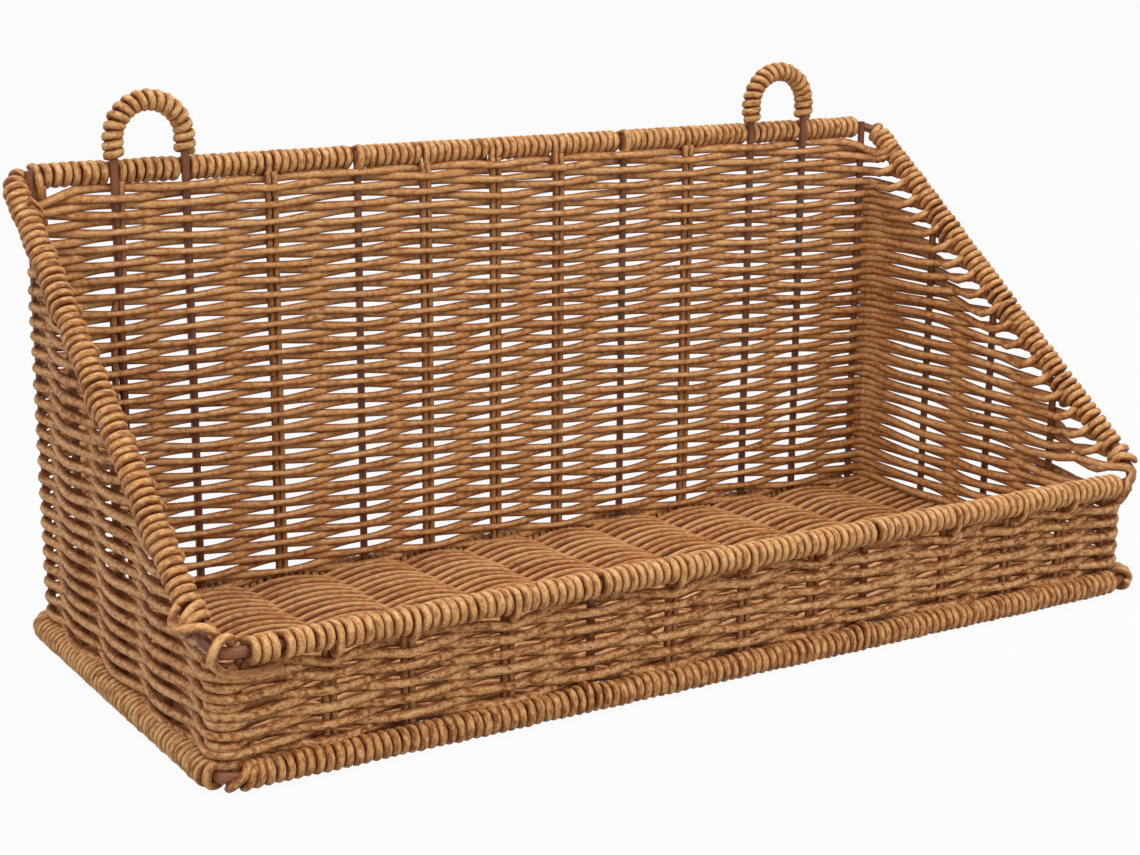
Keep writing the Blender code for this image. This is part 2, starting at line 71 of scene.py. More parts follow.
# Cords: full widths and depths, and how far the weave swings out of its middle surface
WEAVER_WIDTH = 3.25
WEAVER_THINNER = 0.8
WEAVER_DEPTH = 2.6
CREST_POWER = 1.15
FLOOR_CREST_POWER = 0.9
WEAVER_REACH = 3.0
FLOOR_REACH = 2.9
STAKE_CORD = 2.7
STAKE_APART = 1.3
WRAP_WIDTH = 3.25
WRAP_DEPTH = 2.7
WRAP_RADIUS = 3.35
WRAP_PITCH = 3.3
SLOPE_WRAP_PITCH = 3.5
BINDING_RADIUS = 4.7
SAMPLE = 1.8
FLOOR_SAMPLE = 2.1

# Stakes, from left to right in the front and the back, and from back to front in the sides
FRONT_CORDS = (-90.3, -25.35, 5.46, 36.1, 98.1)
BACK_CORDS = (-98.1, -33.0, -1.8, 27.7, 91.65)
FRONT_OUTER = (-154.2, -126.8, 129.9, 157.6)
LOOP_LEGS = (-158.58, -131.58, 124.06, 152.06)
FRONT_WIRES = (-58.1, 59.5)
BACK_WIRES = (-62.4, 59.1)
SINGLE_CORD = -162.73
POST_X = 184.9
FRONT_RIGHT_POST = 179.9
LEFT_STAKES = (40.56, 2.54, -38.36)
RIGHT_STAKES = (37.35, -2.37, -39.38)
POST_WIRE = 3.0
STAKE_BEND = 2.5
STAKE_DROP = 3.0

# The rim's slope from the front to the back
SLOPE = np.array([0, 2 * HALF_DEPTH, BACK_Z - FRONT_Z])
SLOPE_LENGTH = float(np.linalg.norm(SLOPE))
SLOPE = SLOPE / SLOPE_LENGTH
SLOPE_UP = np.array([0, -SLOPE[2], SLOPE[1]])


# Small helpers on arrays


def unit(vectors):
    """Each row divided by its own length."""
    return vectors / np.linalg.norm(vectors, axis=-1, keepdims=True)


def smoothstep(low, high, value):
    """0 below low, 1 above high, and 3t^2 - 2t^3 in between."""
    share = np.clip((value - low) / (high - low), 0, 1)
    return share * share * (3 - 2 * share)


def wander(places, spacing, amount):
    """A smooth random wave along places: one random knot for each spacing, joined by cosine steps."""
    first = np.min(places)
    count = int((np.max(places) - first) / spacing) + 3
    knots = rng.uniform(-amount, amount, count)
    at = (places - first) / spacing
    cell = at.astype(int)
    share = (1 - np.cos(PI * (at - cell))) / 2
    return knots[cell] * (1 - share) + knots[cell + 1] * share


def signed_power(values, power):
    """The value's size to a power, with the value's sign."""
    return np.sign(values) * np.abs(values) ** power


def curve_through(points, spacing=0.8):
    """A Catmull-Rom curve: each stretch is the cubic whose end slopes are half the neighbours' distance."""
    points = np.asarray(points, float)
    points = np.concatenate([[2 * points[0] - points[1]], points, [2 * points[-1] - points[-2]]])
    pieces = []
    for before, start, end, after in zip(points, points[1:], points[2:], points[3:]):
        steps = max(2, int(np.linalg.norm(end - start) / spacing))
        t = (np.arange(steps) / steps)[:, None]
        slope_start = (end - before) / 2
        slope_end = (after - start) / 2
        pieces.append(
            start * (2 * t**3 - 3 * t**2 + 1)
            + slope_start * (t**3 - 2 * t**2 + t)
            + end * (3 * t**2 - 2 * t**3)
            + slope_end * (t**3 - t**2)
        )
    return np.concatenate(pieces + [points[-2:-1]])


# Meshes of cords


class CordMesh:
    """Many cords gathered in one mesh.

    A ring of the section is set square to the path at each of its points: the depth lies along the
    facing direction and the width across it. Each vertex keeps its place in the straightened cord,
    as (length along the cord, depth, width), for the cord's material to follow.
    """

    def __init__(self, sides=8, crinkle=1.0):
        self.sides = sides
        self.crinkle = crinkle
        self.vertices = []
        self.quads = []
        self.caps = []
        self.grain = []
        self.looks = []
        self.count = 0

    def rings(self, path, facing, width, depth, closed=False):
        """Corner points and their places in the cord, one row for each point of the path."""
        path = np.asarray(path, float)
        tangent = np.gradient(path, axis=0)
        if closed:
            tangent[0] = tangent[-1] = path[1] - path[-2]
        tangent = unit(tangent)
        facing = np.broadcast_to(np.asarray(facing, float), path.shape)
        facing = unit(facing - tangent * np.sum(facing * tangent, axis=1, keepdims=True))
        across = np.cross(tangent, facing)
        width = np.broadcast_to(width, len(path))
        depth = np.broadcast_to(depth, len(path))
        angle = 2 * PI * np.arange(self.sides) / self.sides
        out = np.cos(angle)[None, :, None] * (depth / 2)[:, None, None]
        side = np.sin(angle)[None, :, None] * (width / 2)[:, None, None]
        corners = path[:, None] + facing[:, None] * out + across[:, None] * side
        steps = np.linalg.norm(np.diff(path, axis=0), axis=1)
        length = np.concatenate([[0], np.cumsum(steps)]) + rng.uniform(0, 900)
        length = np.broadcast_to(length[:, None], out.shape[:2])
        return corners, np.stack([length, out[..., 0], side[..., 0]], axis=-1)

    def lay(self, corners, grain, tone):
        """One cord's skin from its rings, with a cap at each end."""
        count = len(corners)
        # Nearness to the cord's side edges, which the cord material turns into painted shade in the creases
        # between cords
        edge = np.abs(np.sin(2 * PI * np.arange(self.sides) / self.sides))
        looks = np.zeros((count, self.sides, 3))
        looks[..., 0] = tone
        looks[..., 1] = edge
        looks[..., 2] = self.crinkle
        self.vertices.append(corners.reshape(-1, 3))
        self.grain.append(grain.reshape(-1, 3))
        self.looks.append(looks.reshape(-1, 3))
        here = self.count + np.arange(count * self.sides).reshape(count, self.sides)
        after = np.roll(here, -1, axis=1)
        self.caps += [here[0][::-1].tolist(), here[-1].tolist()]
        self.quads.append(np.stack([here[:-1], after[:-1], after[1:], here[1:]], axis=-1).reshape(-1, 4))
        self.count += count * self.sides

    def add(self, path, facing, width, depth):
        """A whole cord, with a tone of its own."""
        self.lay(*self.rings(path, facing, width, depth), rng.uniform(0, 1))

    def finish(self, name, material, slot, *nodes):
        """The gathered cords as one piece of the scene."""
        mesh = bpy.data.meshes.new(name)
        quads = np.concatenate(self.quads).tolist()
        mesh.from_pydata(np.concatenate(self.vertices) * MM, [], quads + self.caps)
        for label, rows in (("grain", self.grain), ("looks", self.looks)):
            attribute = mesh.attributes.new(label, "FLOAT_VECTOR", "POINT")
            attribute.data.foreach_set("vector", np.concatenate(rows).ravel())
        smooth = np.arange(len(mesh.polygons)) < len(quads)
        mesh.polygons.foreach_set("use_smooth", smooth)
        mesh.materials.append(material)
        piece = bpy.data.objects.new(name, mesh)
        bpy.context.scene.collection.objects.link(piece)
        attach(piece, "root")
        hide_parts(*nodes)
        return piece


# Materials


class Value:
    """A socket of numbers: each sign used on it adds the Math node that works it out."""

    def __init__(self, socket):
        self.socket = socket

    def math(self, operation, other):
        node = self.socket.id_data.nodes.new("ShaderNodeMath")
        node.operation = operation
        for place, term in enumerate((self, other)):
            if isinstance(term, Value):
                self.socket.id_data.links.new(term.socket, node.inputs[place])
            else:
                node.inputs[place].default_value = term
        return Value(node.outputs[0])

    def __add__(self, other):
        return self.math("ADD", other)

    def __mul__(self, other):
        return self.math("MULTIPLY", other)

    def __sub__(self, other):
        return self.math("SUBTRACT", other)

    __radd__ = __add__

    def step(self, low, high):
        """0 below low and 1 above high, with a smooth change between."""
        node = self.socket.id_data.nodes.new("ShaderNodeMapRange")
        node.interpolation_type = "SMOOTHSTEP"
        node.inputs["From Min"].default_value = low
        node.inputs["From Max"].default_value = high
        self.socket.id_data.links.new(self.socket, node.inputs["Value"])
        return Value(node.outputs["Result"])


class Finish:
    """A material on a Principled shader, with one call for every other kind of node."""

    def __init__(self, name):
        self.material = bpy.data.materials.new(name)
        self.material.use_nodes = True
        self.tree = self.material.node_tree
        self.shader = self.tree.nodes["Principled BSDF"]

    def node(self, kind, settings=None, **sockets):
        """A new node: its settings first, and then a value or a link for each named socket."""
        made = self.tree.nodes.new("ShaderNode" + kind)
        for name, value in (settings or {}).items():
            setattr(made, name, value)
        for name, value in sockets.items():
            self.set(made.inputs[name.replace("_", " ")], value)
        return made

    def set(self, target, value):
        if isinstance(value, Value):
            value = value.socket
        if isinstance(value, bpy.types.NodeSocket):
            self.tree.links.new(value, target)
        else:
            target.default_value = value

    def scaled(self, vector, factors):
        node = self.node("VectorMath", {"operation": "MULTIPLY"})
        self.set(node.inputs[0], vector)
        self.set(node.inputs[1], factors)
        return node.outputs[0]

    def noise(self, vector, factors, detail=2.0, rough=0.5):
        """Noise between 0 and 1, with its vector scaled first."""
        place = self.scaled(vector, factors)
        made = self.node("TexNoise", Vector=place, Scale=1.0, Detail=detail, Roughness=rough)
        return Value(made.outputs["Fac"])

    def mix(self, factor, first, second):
        made = self.node("Mix", {"data_type": "RGBA"})
        self.set(made.inputs[0], factor)
        self.set(made.inputs[6], first)
        self.set(made.inputs[7], second)
        return made.outputs[2]


def linear(red, green, blue):
    """A colour of 0 to 255 sRGB steps, as linear values."""
    share = np.array([red, green, blue]) / 255
    value = np.where(share <= 0.04045, share / 12.92, ((share + 0.055) / 1.055) ** 2.4)
    return (*value.tolist(), 1.0)


def cord_finish(name, pale, middle, dark):
    """Crinkled cord: tan, with dark mottles, pale flecks and fine wrinkles, and its side edges darkened as
    painted shade where the cords meet.
    """
    # The grain is in millimetres. The looks are a cord's tone, nearness to its side edges (where the painted
    # shade goes), and crinkle
    made = Finish(name)
    grain = made.node("Attribute", {"attribute_name": "grain"}).outputs["Vector"]
    looks = made.node("Attribute", {"attribute_name": "looks"}).outputs["Vector"]
    parts = made.node("SeparateXYZ", Vector=looks)
    tone = Value(parts.outputs["X"])
    edge = Value(parts.outputs["Y"])
    crinkle = Value(parts.outputs["Z"])
    drift = made.noise(grain, (0.06, 0.1, 0.1), 1.0)
    mottle = made.noise(grain, (0.42, 0.7, 0.7), 4.0, 0.65)
    fleck = made.noise(grain, (1.3, 1.8, 1.8), 3.0, 0.65)
    streak = made.noise(grain, (0.2, 1.5, 1.5), 2.0, 0.5)
    wrinkle = made.noise(grain, (0.9, 1.6, 1.6), 4.0, 0.65)
    spots = (fleck - 0.5) * crinkle
    clouds = (mottle - 0.5) * crinkle
    # Nearness to the side edges adds to the darkness and takes from the paleness: painted shade in the
    # creases between cords, which leaves the cords' middles looking lit
    darkness = (clouds + spots * 0.45 + drift * 0.25 + tone * 0.08 + edge * 0.06).step(0.14, 0.44)
    paleness = (spots + streak * 0.3 - clouds * 0.5 - tone * 0.08 - edge * 0.10).step(-0.08, 0.26)
    base = made.mix(paleness, middle, pale)
    base = made.mix(darkness * 0.85, base, dark)
    # Painted shade: each cord's side edges mixed further towards the dark colour
    base = made.mix(edge.step(0.5, 1.0) * 0.62, base, dark)
    made.set(made.shader.inputs["Base Color"], base)
    made.set(made.shader.inputs["Roughness"], 0.42 + wrinkle * 0.26)
    height = (wrinkle * 0.8 + fleck * 0.5 + mottle * 0.5) * crinkle
    bump = made.node("Bump", Height=height, Strength=0.6, Distance=0.0010)
    made.set(made.shader.inputs["Normal"], bump.outputs[0])
    made.shader.inputs["Specular IOR Level"].default_value = 0.33
    return made.material


def wire_finish():
    """Satin brown coating on wire, with faint clouds and flecks in its thickness."""
    made = Finish("brown coated wire")
    place = made.node("TexCoord").outputs["Object"]
    cloud = made.noise(place, (180.0, 180.0, 60.0), 3.0)
    fleck = made.noise(place, (1400.0, 1400.0, 700.0), 2.0)
    base = made.mix(cloud.step(0.3, 0.75), linear(102, 55, 23), linear(132, 76, 38))
    made.set(made.shader.inputs["Base Color"], base)
    made.set(made.shader.inputs["Roughness"], 0.28 + cloud * 0.12 + fleck * 0.06)
    bump = made.node("Bump", Height=cloud + fleck * 0.3, Strength=0.12, Distance=0.0006)
    made.set(made.shader.inputs["Normal"], bump.outputs[0])
    return made.material


# Pale, middle and dark colours of each kind of cord. The dark one colours both the real mottles and the
# painted shade at the cords' side edges
WEAVER_COLOURS = (linear(224, 178, 122), linear(188, 120, 56), linear(104, 41, 8))
WRAP_COLOURS = (linear(226, 182, 124), linear(192, 127, 64), linear(110, 48, 12))
# The stake cords are the weavers' cord in darker colours: painted shade for stakes that stand between the
# weavers
STAKE_COLOURS = (linear(206, 154, 98), linear(168, 104, 50), linear(92, 38, 8))
weaver_cord = cord_finish("mottled weaver cord", *WEAVER_COLOURS)
wrap_cord = cord_finish("mottled binding cord", *WRAP_COLOURS)
stake_cord = cord_finish("mottled stake cord", *STAKE_COLOURS)
coated_wire = wire_finish()


# Closed lines with round corners


class Circuit:
    """A rectangle with round corners, walked from the front's left end by way of the right.

    It lies in the plane of +X and the deep direction. Places on it are lengths along the line.
    """

    RUN_POINTS = 30
    BEND_POINTS = 18

    def __init__(self, half_x, half_y, bend, middle, deep=(0, 1, 0)):
        self.middle = np.asarray(middle, float)
        self.deep = np.asarray(deep, float)
        self.up = np.cross([1, 0, 0], self.deep)
        self.long_run = 2 * (half_x - bend)
        self.side_run = 2 * (half_y - bend)
        self.arc = bend * PI / 2
        long_half = self.long_run / 2
        side_half = self.side_run / 2
        starts = ((-long_half, -half_y), (half_x, -side_half), (long_half, half_y), (-half_x, side_half))
        places = []
        outward = []
        for turn, start in enumerate(starts):
            run = self.side_run if turn % 2 else self.long_run
            heading = PI / 2 * turn
            ahead = np.array([np.cos(heading), np.sin(heading)])
            out = np.array([np.sin(heading), -np.cos(heading)])
            places.append(np.array(start) + np.linspace(0, run, self.RUN_POINTS)[:, None] * ahead)
            outward.append(np.broadcast_to(out, (self.RUN_POINTS, 2)))
            sweep = heading - PI / 2 + np.linspace(0, PI / 2, self.BEND_POINTS)[1:-1]
            round_out = np.stack([np.cos(sweep), np.sin(sweep)], axis=1)
            places.append(places[-1][-1] - out * bend + round_out * bend)
            outward.append(round_out)
        self.flat = np.concatenate(places + [places[0][:1]])
        self.flat_out = np.concatenate(outward + [outward[0][:1]])
        steps = np.linalg.norm(np.diff(self.flat, axis=0), axis=1)
        self.lengths = np.concatenate([[0], np.cumsum(steps)])
        self.around = float(self.lengths[-1])
        self.right_start = self.long_run + self.arc
        self.back_start = self.right_start + self.side_run + self.arc
        self.back_end = self.back_start + self.long_run
        self.left_start = self.back_end + self.arc

    def at(self, along):
        """Points and outward directions in space at lengths along the line."""
        along = np.mod(along, self.around)
        flat = [np.interp(along, self.lengths, self.flat[:, k]) for k in (0, 1)]
        out = [np.interp(along, self.lengths, self.flat_out[:, k]) for k in (0, 1)]
        points = self.middle + np.outer(flat[0], [1, 0, 0]) + np.outer(flat[1], self.deep)
        return points, unit(np.outer(out[0], [1, 0, 0]) + np.outer(out[1], self.deep))

    def front(self, x):
        return x + self.long_run / 2

    def right(self, y):
        return self.right_start + y + self.side_run / 2

    def back(self, x):
        return self.back_start + self.long_run / 2 - x

    def left(self, y):
        return self.left_start + self.side_run / 2 - y


walls = Circuit(WALL_X, WALL_Y, WALL_BEND, (0, 0, 0))
rim = Circuit(HALF_WIDTH, SLOPE_LENGTH / 2, FRAME_BEND, (0, 0, (BACK_Z + FRONT_Z) / 2), SLOPE)
base = Circuit(BASE_HALF_WIDTH, HALF_DEPTH, FRAME_BEND, (0, 0, BASE_Z + BASE_TURNS_LIFT))

# Stakes passed by the cords at places on the walls: whole numbers at stakes, fractions at the bends
LOOP_POST = (LOOP_LEGS[0] + SINGLE_CORD) / 2
LEFT_CORNER_END = -187.4
FIRST_CROSSING_SHARE = 0.65
FRONT_STAKES = sorted(FRONT_CORDS + FRONT_OUTER + FRONT_WIRES) + [FRONT_RIGHT_POST]
BACK_INNER = sorted(BACK_CORDS + BACK_WIRES + LOOP_LEGS[1:] + (LOOP_POST,), reverse=True)
BACK_STAKES = [POST_X, *BACK_INNER, LEFT_CORNER_END]
RIGHT_PLACES = [walls.right(y) for y in reversed(RIGHT_STAKES)]
LEFT_PLACES = [walls.left(y) for y in LEFT_STAKES]
LEFT_POST = walls.front(-POST_X)
STATIONS = (
    [(LEFT_PLACES[-1] - walls.around, -1.0), (LEFT_POST, 0.0)]
    + [(LEFT_POST + FIRST_CROSSING_SHARE * (POST_X + FRONT_OUTER[0]), 0.5)]
    + [(walls.front(x), 1.0 + i) for i, x in enumerate(FRONT_STAKES)]
    + [(walls.right_start - walls.arc / 2, 12.5)]
    + [(place, 13.0 + i) for i, place in enumerate(RIGHT_PLACES)]
    + [(walls.back_start - walls.arc / 2, 15.6)]
    + [(walls.back(x), 16.0 + i) for i, x in enumerate(BACK_STAKES)]
    + [(place, 29.0 + i) for i, place in enumerate(LEFT_PLACES)]
    + [(walls.around + LEFT_POST, 32.0)]
)

# Heights of the cords. The low ones run all the way round, and the others end at the slopes
CORDS = 55
LOW_CORDS = 11
LOOSE_CORD = 13
CORD_PITCH = (BACK_TOP - WALL_FOOT) / (CORDS - 1)
BACK_LEVELS = WALL_FOOT + CORD_PITCH * (np.arange(CORDS) - 0.5)
FRONT_LEVELS = (9.65, 12.6, 15.0, 18.1, 20.8, 23.7, 26.2, 29.3, 31.9, 34.6, 37.2)

# What moves the outermost cords up or down, first cord first: the back's top ones in its middle and under
# its ties, the lowest ones at the front left bend, and the front's top ones there and under ties
TOP_LIFTS = (0.5, 0.8, 0.8, 0.6, 0.4, 0.2)
BACK_TIE_DIPS = (0.6, 0.48, 0.36, 0.24, 0.12)
BEND_SINKS = (1.7, 1.3, 0.9, 0.5)
BEND_LIFTS = (1.7, 1.2, 0.7)
FRONT_TIE_DIPS = (1.6, 1.1, 0.6)
BEND_SINK_SPREAD = 9.0
BEND_LIFT_SPREAD = 11.0
TIE_SPREAD = 6.5
TOP_RISE = 0.8
TOP_RISE_CORDS = 2.5

# Small wanders of each cord: spacing of the knots and largest amount
LEVEL_WANDER = (21.0, 0.2)
REACH_WANDER = (30.0, 0.2)
WIDTH_WANDERS = ((14.0, 0.2), (6.0, 0.12))
DEPTH_WANDER = (17.0, 0.15)

# The slow waves that neighbouring courses share: rows of (waves all round, rise for a radian, amount)
SHARED_WAVES = ((6, 23.0, 0.50), (10, -14.0, 0.40), (19, 6.0, 0.28))
wave_starts = rng.uniform(0, 2 * PI, 6)


def ripple(along, spacing, amount):
    """A wander that closes on itself after one way round the walls."""
    count = round(walls.around / spacing)
    knots = rng.uniform(-amount, amount, count)
    at = np.mod(along, walls.around) / walls.around * count
    cell = at.astype(int) % count
    share = (1 - np.cos(PI * (at - np.floor(at)))) / 2
    return knots[cell] * (1 - share) + knots[(cell + 1) % count] * share


def back_share(along):
    """0 along the front, 1 along the back, and in proportion in the sides."""
    along = np.mod(along, walls.around)
    places = [0, walls.long_run, walls.back_start, walls.back_end, walls.around]
    return np.interp(along, places, [0, 0, 1, 1, 0])


def bell(distance, spread):
    """1 at no distance, about 0.37 at one spread, and next to nothing from two on."""
    return np.exp(-((distance / spread) ** 2))


def from_left_bend(along):
    """Distance along the walls from the middle of the front left bend."""
    return np.mod(along + walls.arc / 2 + walls.around / 2, walls.around) - walls.around / 2


def drift(along, level):
    """The slow rise and fall that neighbouring courses share: crossing sine waves, whole all round."""
    turn = 2 * PI * along / walls.around
    return sum(
        amount * np.sin(count * turn + level / rise + start)
        for (count, rise, amount), start in zip(SHARED_WAVES, wave_starts)
    )


def cord_level(cord, along):
    """Height of a cord: its even height, the shared drift, its own small wander, and dips under the ties."""
    share = back_share(along)
    front = FRONT_LEVELS[cord] if cord < LOW_CORDS else BACK_LEVELS[cord]
    level = front * (1 - share) + BACK_LEVELS[cord] * share
    room = min(1.0, 0.3 + 0.15 * min(cord, CORDS - 1 - cord))
    level = level + drift(along, level) * room * np.where(share > 0.02, 1.0, 0.5)
    level = level + ripple(along, *LEVEL_WANDER)
    from_top = CORDS - 1 - cord
    level = level + TOP_RISE * np.exp(-from_top / TOP_RISE_CORDS)
    if from_top < len(TOP_LIFTS):
        in_middle = smoothstep(40, 90, np.minimum(along - walls.back_start, walls.left_start - along))
        level = level + TOP_LIFTS[from_top] * in_middle
    if from_top < len(BACK_TIE_DIPS):
        for x in BACK_CORDS:
            level = level - BACK_TIE_DIPS[from_top] * bell(along - walls.back(x), TIE_SPREAD)
    if cord < len(BEND_SINKS):
        level = level - BEND_SINKS[cord] * bell(from_left_bend(along), BEND_SINK_SPREAD)
    from_front_top = LOW_CORDS - 1 - cord
    if 0 <= from_front_top < len(BEND_LIFTS):
        level = level + BEND_LIFTS[from_front_top] * bell(from_left_bend(along), BEND_LIFT_SPREAD)
        for x in FRONT_CORDS + FRONT_OUTER:
            level = level - FRONT_TIE_DIPS[from_front_top] * bell(along - walls.front(x), TIE_SPREAD)
    return level


# Ends of the cords at the slopes
UNDER_BINDING = 1.2
OUTER_TAIL_X = 194.6
LOOSE_START_Y = -47.0
HIGHEST_END = 157.0
DRAW_IN = 24
END_ROOM = 7

# Bends of the wall cords: round the front left post all lie outside, and at the back they are flatter
POST_OFFSET = 2.7
POST_SPREAD = 8.5
BACK_BEND_FLATTER = 0.55
BACK_BEND_SPREAD = 7.0
BACK_EDGE = 16

# The two cords below the loose one sink towards the front right
LOOSE_SINKS = (4.8, 2.4)
LOOSE_SINK_RANGE = (15, 70)

# Outside the back a cord is wider and evener, as the back's top ones are too
SIDE_WIDER = 0.3
SIDE_THINNER = 0.15
TOP_WIDER = 0.75
TOP_WIDER_CORDS = 4.0


def slope_y(level):
    """Where the sloping wire stands at that height."""
    return -HALF_DEPTH + 2 * HALF_DEPTH * (level - FRONT_Z) / (BACK_Z - FRONT_Z)


def under_slope(level):
    """Where a cord at that height meets the lower side of the slope's wrapping."""
    return slope_y(level) + (BINDING_RADIUS + UNDER_BINDING) / SLOPE[2]


def slope_tail(start, outer):
    """The end of a cord at the slope: outer ones run down under the wrapping, inner ones rise into it."""
    x, y, z = start
    side = np.sign(x)
    if outer:
        bend = np.array([side * OUTER_TAIL_X, y - 3.0, z + 0.2])
        outwards = np.array([side * 0.9, 0, 0])
        points = [start, bend + (0, 1.6, 0), bend - SLOPE * 1.2 + outwards]
        points += [bend - SLOPE * 3.0 + SLOPE_UP * 1.5 + outwards, bend - SLOPE * 4.2 + SLOPE_UP * 4.0]
    else:
        bend = np.array([x, y - 3.0, z + 0.3])
        steps = ((0, 1.4, 0.3), (1.2, -1.4, 1.5), (3.2, -2.8, 3.4), (5.2, -3.4, 5.0))
        points = [start] + [bend + (side * step, back, up) for step, back, up in steps]
    return curve_through(points)


def ring_points(line, stops):
    """Points about a wire, from rows of (place, angle from outward towards up, distance from its middle)."""
    place, angle, reach = np.array(stops, float).T
    centre, out = line.at(place)
    radial = out * np.cos(angle)[:, None] + line.up * np.sin(angle)[:, None]
    return centre + radial * reach[:, None], radial


def loose_end(start):
    """The one long end inside the right wall: it crosses the front right bend and hooks down outside it."""
    free = [start, (187.8, -52.0, 47.8), (188.0, -58.1, 49.0), (188.0, -65.4, 48.8), (188.8, -72.8, 48.8)]
    bend = [(0.6, 3.3, 4.2), (-3.0, 2.78, 3.8), (-5.3, 2.3, 3.6), (-7.9, 1.78, 3.5), (-11.7, 1.5, 3.5)]
    bend += [(-13.6, 1.1, 3.5), (-14.2, 0.5, 3.5), (-14.2, -0.2, 3.6), (-13.8, -0.9, 3.8)]
    over, _ = ring_points(rim, [(rim.right_start + place, angle, reach) for place, angle, reach in bend])
    tucked = [(189.8, -82.6, 39.8), (189.6, -80.8, 37.0), (188.6, -78.5, 34.5)]
    return curve_through([*free, *over, *tucked])


def upper_cord_run(cord, sign):
    """Start and end of a cord above the front rim, its stakes, and its height at the slopes, midway to
    its neighbour's."""
    level = BACK_LEVELS[cord]
    if cord + 1 < CORDS:
        level = (level + BACK_LEVELS[cord + sign]) / 2
    end_y = min(under_slope(level) + 3.0, walls.side_run / 2 - 1.0)
    start = walls.right(LOOSE_START_Y if cord == LOOSE_CORD else end_y)
    end = walls.left(end_y)
    kept = [pair for pair in STATIONS if start + END_ROOM < pair[0] < end - END_ROOM]
    before = 13.0 if cord == LOOSE_CORD else np.ceil(kept[0][1]) - 1
    stations = [(start - 1.0, before)] + kept + [(end + 1.0, np.floor(kept[-1][1]) + 1)]
    return start, end, stations, end_y, level


def weave_cord(meshes, cord):
    """One cord of the walls, from one slope to the other, or all the way round under the front rim.

    It passes outside one stake and inside the next: the offset out of the wall is reach * cos(pi *
    stakes passed), with its size to a power, and the cords above and below have the opposite sign.
    """
    half_arc = walls.arc / 2
    back_bends = [walls.back_start - half_arc, walls.left_start - half_arc]
    closed = cord < LOW_CORDS
    sign = 1 if cord % 2 else -1
    if closed:
        cuts = [-half_arc, walls.long_run + half_arc, *back_bends, walls.around - half_arc]
        stations = STATIONS
    else:
        start, end, stations, end_y, end_level = upper_cord_run(cord, sign)
        cuts = [start, *back_bends, end]
        meshes = meshes[1:]
    counts = [max(3, int((high - low) / SAMPLE)) for low, high in zip(cuts, cuts[1:])]
    runs = [np.linspace(low, high, count)[:-1] for low, high, count in zip(cuts, cuts[1:], counts)]
    splits = np.cumsum([0] + [len(run) for run in runs])
    along = np.concatenate(runs + [cuts[-1:]])
    points, out = walls.at(along)
    passed = np.interp(along, *zip(*stations))
    reach = WEAVER_REACH + ripple(along, *REACH_WANDER)
    crest = signed_power(np.cos(PI * passed), CREST_POWER)
    offset = sign * reach * crest
    points[:, 2] = cord_level(cord, along)
    if closed:
        bend_share = bell(from_left_bend(along), POST_SPREAD)
        offset = offset * (1 - bend_share) + POST_OFFSET * bend_share
    else:
        for from_slope in (along - start, end - along):
            drawn = 1 - smoothstep(0, DRAW_IN, from_slope)
            points[:, 2] += drawn * (min(end_level, HIGHEST_END) - BACK_LEVELS[cord])
        below = LOOSE_CORD - 1 - cord
        if 0 <= below < len(LOOSE_SINKS):
            points[:, 2] -= (1 - smoothstep(*LOOSE_SINK_RANGE, along - start)) * LOOSE_SINKS[below]
    for bend in back_bends:
        offset = offset * (1 - BACK_BEND_FLATTER * bell(along - bend, BACK_BEND_SPREAD))
    path = points + out * offset[:, None]
    in_back = smoothstep(0, BACK_EDGE, along - walls.back_start)
    in_back = in_back * smoothstep(0, BACK_EDGE, walls.back_end - along)
    in_back = in_back * (1 - TOP_WIDER * np.exp(-(CORDS - 1 - cord) / TOP_WIDER_CORDS))
    thinner = SIDE_THINNER + (WEAVER_THINNER - SIDE_THINNER) * in_back
    width = WEAVER_WIDTH + SIDE_WIDER * (1 - in_back) - thinner * np.abs(crest)
    for spacing, amount in WIDTH_WANDERS:
        width = width + ripple(along, spacing, amount)
    depth = WEAVER_DEPTH + ripple(along, *DEPTH_WANDER)
    if not closed:
        tucked = end_y > walls.side_run / 2 - 1.5 or end_y < -walls.side_run / 2 + 5.0
        first = path[:1] if tucked and offset[0] > 0 else slope_tail(path[0], offset[0] > 0)[::-1]
        last = path[-1:] if tucked and offset[-1] > 0 else slope_tail(path[-1], offset[-1] > 0)
        if cord == LOOSE_CORD:
            first = loose_end(path[0])[::-1]
        path = np.concatenate([first, path[1:-1], last])
        longer = ((len(first) - 1, len(last) - 1),)
        out = np.pad(out, longer + ((0, 0),), "edge")
        width = np.pad(width, longer, "edge")
        depth = np.pad(depth, longer, "edge")
        splits[1:] += len(first) - 1
        splits[-1] += len(last) - 1
    corners, grain = meshes[0].rings(path, out, width, depth, closed)
    tone = rng.uniform(0, 1)
    for mesh, low, high in zip(meshes, splits, splits[1:]):
        mesh.lay(corners[low : high + 1], grain[low : high + 1], tone)


# Each wall's mesh name, node, and share of crinkle, in the order in which a closed cord passes them
WALLS = (
    ("front_wall_weave", "woven_front", 1.35),
    ("right_side_weave", "woven_side_right", 0.75),
    ("back_wall_weave", "woven_back", 0.72),
    ("left_side_weave", "woven_side_left", 1.1),
)


def weave_walls():
    """All cords of the walls, in one mesh for each wall."""
    meshes = [CordMesh(crinkle=share) for _, _, share in WALLS]
    for cord in range(CORDS):
        weave_cord(meshes, cord)
    for mesh, (name, node, _) in zip(meshes, WALLS):
        mesh.finish(name, weaver_cord, "woven_cord", node)


FLOOR_CORDS = 56
FLOOR_MARGIN = 5.0


